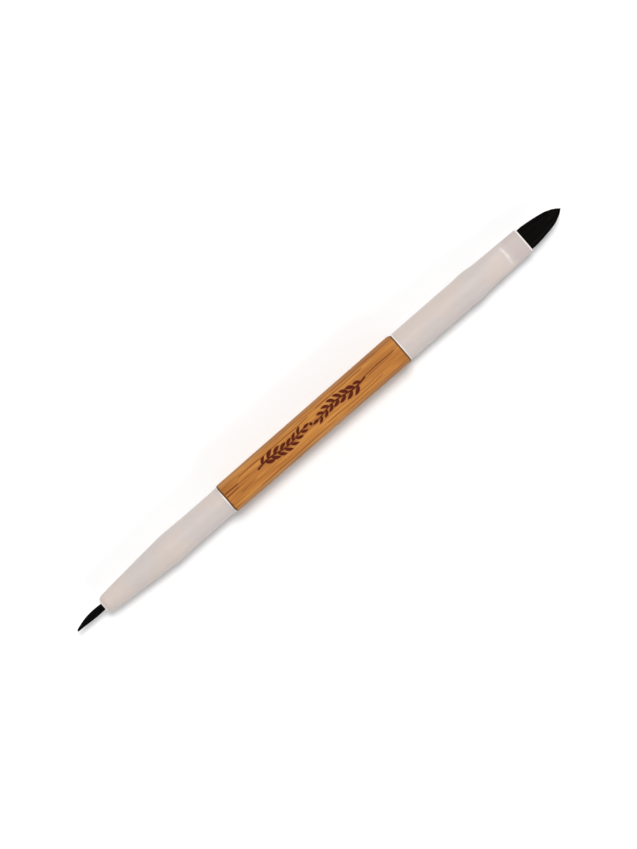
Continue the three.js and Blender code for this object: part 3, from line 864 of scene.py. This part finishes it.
def flat_root(settings):
    """The hair inside the flat ferrule: a round bundle where it is tied, spread flat by the crease."""
    wide, deep, square = flat_hair(settings)
    tied = FLAT_LENGTH - FLAT_ROOT + THREAD_FROM_END + TIED_LENGTH
    bundle = math.sqrt(wide * deep)

    def section(s):
        spread = smooth(s, tied, CREASE)
        return lerp(bundle, wide, spread), lerp(bundle, deep, spread), lerp(2, square, spread)

    return section


def round_root(radius):
    """The hair inside the liner's ferrule: a round bundle all along."""
    return lambda s: (np.full_like(s, radius), np.full_like(s, radius), np.full_like(s, 2))


def flat_envelope(u):
    """Cut to a rounded tongue, and thinned at its tip."""
    return 1.03 * (1 - u**2.1) ** 0.68 * (1 - 0.4 * smooth(u, 0.88, 1)), (1 - u**1.7) ** 0.78


def flat_gather(u):
    """Opens a little at the mouth, then draws together, more in depth than in width."""
    wide = 1 + 0.03 * smooth(u, 0, 0.1) - 0.62 * u**1.6 - 0.28 * smooth(u, 0.75, 1)
    return wide, 1 - 0.75 * u**1.6 - 0.15 * smooth(u, 0.8, 1)


def liner_envelope(u):
    """Cut square, with only the last of it rounded."""
    return (1.18 * (1 - u**7) ** 0.8,) * 2


def liner_gather(u):
    """Swells past the mouth, then comes to a point."""
    return (1 + 0.13 * np.sin(np.pi * np.clip(u / 0.75, 0, 1)) - 0.76 * u**2.8,) * 2


def filament(settings):
    """Dyed synthetic hair: nearly black, each filament a little lighter or duller than the next."""
    f = Finish("black_filament", specular_ior_level=0.02)
    each = f.mark("strand")
    fine = f.noise((2.0, 16.0, 16.0), 3)
    f.set(
        base_color=f.mix(each * 0.85 + fine * 0.15, settings.hair, GREY_HAIR),
        roughness=0.46 + each * 0.14,
    )
    f.relief(fine, 0.004, 0.4)
    return f.material


# ---- Thread, resin and glue inside the ferrules ----

# Thread: steps in a turn, how far off the bundle it lies and how thick it is, as shares of its radius, and how its
# ends taper.
THREAD_STEPS, THREAD_OFF, THREAD_THIN = 48, 0.92, 0.9
END_TAPER, END_BLUNT = 3, 0.05
FLAT_RESIN, LINER_RESIN, RESIN_BEHIND = 8.8, 3.9, 2  # its front from the mouth, and its back behind the hair
# A glue ring: its middle from the joint, half its length, how deep it is in the bore, half its thickness, and how
# round its corners are.
GLUE_MIDDLE, GLUE_LENGTH, GLUE_SUNK, GLUE_HALF, GLUE_ROUND = 6.5, 2.44, 0.21, 0.165, 0.35


def thread_mesh(end, length_, depth, root_section, settings, sides=10):
    """Thread round the bundle: a circle carried along a helix whose radius is the bundle's plus half a thread."""
    r = settings.thread / MM / 2
    start = length_ - depth + THREAD_FROM_END
    angle = np.linspace(0, 2 * np.pi * settings.turns, THREAD_STEPS * settings.turns)
    s = start + r + (angle / (2 * np.pi)) * (2 * r) * (1 - 1 / settings.turns)
    wide, deep, _ = root_section(s)
    out = np.stack([np.cos(angle), np.sin(angle)], axis=-1)
    middle = out * (np.stack([wide, deep], axis=-1) + r * THREAD_OFF + settings.gap / MM)
    turn = turns(sides)
    tapered = np.sqrt(np.minimum(angle, angle[::-1]) * END_TAPER + END_BLUNT)
    thin = r * THREAD_THIN * np.minimum(1, tapered)
    away = thin[:, None] * np.cos(turn)
    along = s[:, None] + thin[:, None] * np.sin(turn)
    across, up = (middle[:, k, None] + out[:, k, None] * away for k in (0, 1))
    return wrapped(stack(along, across, up, end), poles=True)


def resin_mesh(end, tube_section, root_section, length_, depth, from_mouth, settings, wall, columns=64):
    """Resin between tube and bundle: back face, outside against the tube, a hollowed front, and inside over the
    thread."""
    gap, thread = settings.gap / MM, settings.thread / MM
    inner = length_ - depth
    front = length_ - from_mouth
    tied = inner + THREAD_FROM_END
    untied = tied + settings.turns * thread
    centre = 0.02
    out_s = np.linspace(inner - RESIN_BEHIND, front, 40)
    over_hair = [front - 0.12, *np.linspace(front - 0.3, untied + 0.4, 10), untied + gap]
    over_thread = [untied + gap, tied - gap]
    # the last row closes on the centre
    in_s = np.array([*over_hair, *over_thread, tied - gap, inner - gap, inner - gap])
    step = np.array([*[gap] * len(over_hair), *[thread + 2 * gap] * len(over_thread), gap, gap, -1e3])
    wide, deep, square = tube_section(out_s)
    in_wide, in_deep, in_square = root_section(in_s)
    wides = np.concatenate([[centre], wide - wall - gap, np.maximum(in_wide + step, centre)])
    deeps = np.concatenate([[centre], deep - wall - gap, np.maximum(in_deep + step, centre)])
    squares = np.concatenate([square[:1], square, in_square])
    across, up = oval(turns(columns), wides, deeps, squares)
    return wrapped(stack(np.concatenate([out_s[:1], out_s, in_s]), across, up, end), poles=True)


def glue_mesh(end, bore, columns=64):
    """A ring of glue in the tenon's groove: a rectangle with rounded corners carried round the axis."""
    turn = turns(24)
    along, out = (np.sign(v) * np.abs(v) ** GLUE_ROUND for v in (np.cos(turn), np.sin(turn)))
    s = GLUE_MIDDLE + GLUE_LENGTH * along
    r = bore - GLUE_SUNK + GLUE_HALF * out
    across, up = oval(turns(columns), r, r, 2)
    return wrapped(stack(s, across, up, end), loop=True)


def amber(settings):
    """Set resin: clear amber with clouds and fine bubbles."""
    f = Finish("amber_resin", ior=1.55, coat_weight=0.4, coat_roughness=0.08)
    cloud = f.noise((0.6, 0.6, 0.6), 4)
    bubble = f.noise((5.0, 5.0, 5.0), 2)
    f.set(
        base_color=f.mix(f.ease(cloud, 0.35, 0.7), settings.resin, (0.42, 0.2, 0.05)),
        roughness=0.14 + f.ease(bubble, 0.6, 0.75) * 0.2,
    )
    f.relief(f.ease(bubble, 0.55, 0.75), 0.03, 0.6)
    return f.material


def twisted_cotton(settings):
    """Undyed cotton: plies that slant across the thread, and loose fibre."""
    f = Finish("twisted_cotton", roughness=0.9, sheen_weight=0.3)
    x, y, z = f.axes()
    ply = f.node("Math", {"operation": "SINE"}, {0: (x * 2.0 + (y + z) * 5.0) * 3.0}) * 0.5 + 0.5
    fluff = f.noise((9.0, 9.0, 9.0), 4, 0.7)
    f.set(
        base_color=f.mix(ply * 0.5 + fluff * 0.4, (0.45, 0.4, 0.31), settings.cotton),
        roughness=0.82 + fluff * 0.15,
    )
    f.relief(ply * 0.7 + fluff * 0.5, 0.03)
    return f.material


# ---- Operators ----


class BRUSH_OT_grip(bpy.types.Operator):
    """Build the bamboo grip with its burned sprig"""

    bl_idname = "brush.grip"
    bl_label = "Bamboo grip"

    def execute(self, context):
        settings = context.scene.brush_grip
        points, faces, marks = grip_mesh(settings)
        make("bamboo_bar", points, faces, bamboo(settings), ["bamboo_grip"], "handle", marks)
        return {"FINISHED"}


class BRUSH_OT_ferrules(bpy.types.Operator):
    """Build the pressed flat ferrule and the liner's nosed ferrule"""

    bl_idname = "brush.ferrules"
    bl_label = "Ferrules"

    def execute(self, context):
        settings = context.scene.brush_ferrules
        hair = context.scene.brush_tufts.liner_thickness / MM / 2
        finish = lacquer(settings)
        shells = {"flat_ferrule": flat_ferrule_mesh(settings), "liner_ferrule": liner_ferrule_mesh(settings, hair)}
        for node, (points, faces, marks) in shells.items():
            make(f"{node}_shell", points, faces, finish, [node], "handle", marks)
        return {"FINISHED"}


class BRUSH_OT_tufts(bpy.types.Operator):
    """Build both tufts, filament by filament"""

    bl_idname = "brush.tufts"
    bl_label = "Tufts"

    def execute(self, context):
        settings, ferrules = context.scene.brush_tufts, context.scene.brush_ferrules
        finish = filament(settings)
        thick = settings.filament / MM / 2

        def add(name, tuft, disc, thickness, nodes, mouth_at, bend_end):
            """Builds a tuft from its filaments; mouth_at and bend_end are not used."""
            centres, out = tuft_paths(tuft, disc)
            taper = 1 - TIP_TAPER * smooth(out, TAPER_START, 1.0)
            points, faces = filament_tubes(centres, thickness * taper)
            each = np.repeat(disc[2].random(len(centres)) ** 7, centres.shape[1] * 4)
            piece = make(name, points, faces, finish, nodes, marks={"strand": each})
            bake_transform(piece)

        wide, deep, square = flat_hair(ferrules)
        mouth, free = FLAT_HIGH[0], FLAT_TIP - FLAT_HIGH[0] - TIP_ROOM
        hair = (wide - thick, deep - thick, square)
        shapes = (flat_envelope, flat_gather, np.zeros_like)
        tuft = Tuft(FLAT_END, FLAT_LENGTH, free, FLAT_ROOT, hair, flat_root(ferrules), *shapes, 0.012)
        disc, nodes = spread_out(settings.flat_filaments, SEED), ["flat_tuft", "flat_tuft_root"]
        add("flat_tuft_hair", tuft, disc, thick, nodes, mouth, mouth + FLAT_BEND)

        def lean(u):
            """Bows a little one way, and its tip sweeps the other."""
            return 0.3 * u * (1 - u) - settings.liner_sweep / MM * u**4 - 0.08 * u

        radius = settings.liner_thickness / MM / 2
        mouth, free = LINER_LOW[0], LINER_LOW[0] - LINER_TIP - TIP_ROOM
        hair = (radius + 0.02, radius + 0.02, 2)
        shapes = (liner_envelope, liner_gather, lean)
        tuft = Tuft(LINER_END, LINER_LENGTH, free, LINER_ROOT, hair, round_root(radius - thick), *shapes, 0.008)
        disc, nodes = spread_out(settings.liner_filaments, SEED + 1), ["liner_tuft", "liner_tuft_root"]
        add("liner_tuft_hair", tuft, disc, thick * LINER_FINENESS, nodes, mouth, mouth - LINER_BEND)
        return {"FINISHED"}


class BRUSH_OT_potting(bpy.types.Operator):
    """Build the thread, resin and glue hidden in the ferrules"""

    bl_idname = "brush.potting"
    bl_label = "Thread, resin and glue"

    def execute(self, context):
        settings, ferrules = context.scene.brush_potting, context.scene.brush_ferrules
        radius = context.scene.brush_tufts.liner_thickness / MM / 2
        resin, cotton = amber(settings), twisted_cotton(settings)
        wall = ferrules.wall / MM
        flat = flat_root(ferrules), lambda s: flat_tube(s, ferrules)
        liner = round_root(radius), lambda s: liner_tube(s, ferrules, radius)
        ends = (
            ("flat", FLAT_END, FLAT_LENGTH, FLAT_ROOT, FLAT_RESIN, *flat, FLAT_TUBE),
            ("liner", LINER_END, LINER_LENGTH, LINER_ROOT, LINER_RESIN, *liner, LINER_TUBE),
        )
        for name, end, length_, depth, from_mouth, root, tube, diameter in ends:
            points, faces = thread_mesh(end, length_, depth, root, settings)
            make(f"{name}_tuft_thread", points, faces, cotton, [f"{name}_tuft_binding"], "handle")
            points, faces = resin_mesh(end, tube, root, length_, depth, from_mouth, settings, wall)
            make(f"{name}_potting", points, faces, resin, [f"{name}_ferrule_resin"], "handle")
            points, faces = glue_mesh(end, diameter / 2 - wall)
            make(f"{name}_glue_ring", points, faces, resin, [f"{name}_tenon_glue"], "handle")
        return {"FINISHED"}


# The floor: half its width in metres, and how far under the brush it lies in mm.
FLOOR_REACH, FLOOR_DROP = 4.0, 0.01
SQUARE = ((-1, -1), (1, -1), (1, 1), (-1, 1))
# Each lamp's setting, its spread in degrees, and the direction it shines from.
LAMPS = (("key", 23, (0.2, 0.225, 0.9)), ("left", 32, (-0.1, 0.78, 0.42)), ("right", 32, (0.1, -0.78, 0.42)))
SKY_SEEN = 0.97
# Where the camera aims, in mm from the middle: to its right, up its view, and along Y.
AIM_RIGHT, AIM_UP, AIM_Y = 0.092, -1.44, 0.125


class BRUSH_OT_stage(bpy.types.Operator):
    """Lay the pale floor, hang the lights and set the camera"""

    bl_idname = "brush.stage"
    bl_label = "Floor, lights and camera"

    def execute(self, context):
        settings, scene = context.scene.brush_stage, context.scene
        scene.view_settings.view_transform = "Standard"
        f = Finish("pale_floor", roughness=0.8, specular_ior_level=0.1)
        paler = [min(1, c * 1.01) for c in settings.floor]
        f.set(base_color=f.mix(f.noise((0.02, 0.02, 0.02), 2), settings.floor, paler))
        mesh = bpy.data.meshes.new("floor")
        level = (GRIP_LOW[2] - FLOOR_DROP) * MM
        mesh.from_pydata([(a * FLOOR_REACH, b * FLOOR_REACH, level) for a, b in SQUARE], [], [(0, 1, 2, 3)])
        mesh.materials.append(f.material)
        floor = bpy.data.objects.new("floor", mesh)
        scene.collection.objects.link(floor)
        floor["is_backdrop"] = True

        # far, soft lamps: a white card facing one alone would show its strength
        for name, spread, where in LAMPS:
            light = bpy.data.lights.new(name, "SUN")
            light.energy, light.angle = getattr(settings, name) * math.pi, math.radians(spread)
            holder = bpy.data.objects.new(name, light)
            holder.matrix_world = (-Vector(where)).to_track_quat("-Z", "Y").to_matrix().to_4x4()
            scene.collection.objects.link(holder)

        world = bpy.data.worlds.new("studio")
        world.use_nodes = True
        background = next(n for n in world.node_tree.nodes if n.type == "BACKGROUND")
        background.inputs["Color"].default_value = (1, 1, 1, 1)
        seen = world.node_tree.nodes.new("ShaderNodeLightPath").outputs["Is Camera Ray"]
        strength = Wire(world.node_tree, seen) * (SKY_SEEN - settings.sky) + settings.sky
        world.node_tree.links.new(strength.socket, background.inputs["Strength"])
        scene.world = world

        camera = bpy.data.objects.new("camera", bpy.data.cameras.new("camera"))
        camera.data.lens = settings.lens
        turn = settings.turn
        right = Vector((math.cos(turn), -math.sin(turn), 0))
        up = Vector((math.sin(turn), math.cos(turn), 0))
        high = settings.view_height / 2 / (camera.data.sensor_width / 2 / settings.lens)
        aim = (AIM_RIGHT * right + AIM_UP * up + Vector((0, AIM_Y, 0))) * MM
        place = Matrix.Translation(aim + Vector((0, 0, AXIS_UP * MM + high)))
        camera.matrix_world = place @ Matrix((right, up, Vector((0, 0, 1)))).transposed().to_4x4()
        camera.data.clip_end = 20
        scene.collection.objects.link(camera)
        scene.camera = camera
        return {"FINISHED"}


class BRUSH_PT_maker(bpy.types.Panel):
    """Lists what the brush is made of"""

    bl_idname = "BRUSH_PT_maker"
    bl_label = "Make-up brush"
    bl_space_type = "VIEW_3D"
    bl_region_type = "UI"
    bl_category = "Brush"

    def draw(self, context):
        for operator, name, _ in STEPS:
            box = self.layout.box()
            box.operator(operator.bl_idname)
            settings = getattr(context.scene, name)
            for key in settings.__annotations__:
                box.prop(settings, key)


STEPS = (
    (BRUSH_OT_grip, "brush_grip", GripSettings),
    (BRUSH_OT_ferrules, "brush_ferrules", FerruleSettings),
    (BRUSH_OT_potting, "brush_potting", PottingSettings),
    (BRUSH_OT_tufts, "brush_tufts", TuftSettings),
    (BRUSH_OT_stage, "brush_stage", StageSettings),
)


def register():
    for operator, name, group in STEPS:
        bpy.utils.register_class(group)
        setattr(bpy.types.Scene, name, bpy.props.PointerProperty(type=group))
        bpy.utils.register_class(operator)
    bpy.utils.register_class(BRUSH_PT_maker)


def unregister():
    bpy.utils.unregister_class(BRUSH_PT_maker)
    for operator, name, group in STEPS:
        bpy.utils.unregister_class(operator)
        delattr(bpy.types.Scene, name)
        bpy.utils.unregister_class(group)


def main():
    register()
    bpy.ops.brush.grip()
    bpy.ops.brush.ferrules()
    bpy.ops.brush.potting()
    bpy.ops.brush.tufts()
    bpy.ops.brush.stage()
    boxes = {"cad": CAD_BOX, "visual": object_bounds()}
    {name: [list(corner) for corner in box] for name, box in boxes.items()}


if __name__ == "__main__":
    main()
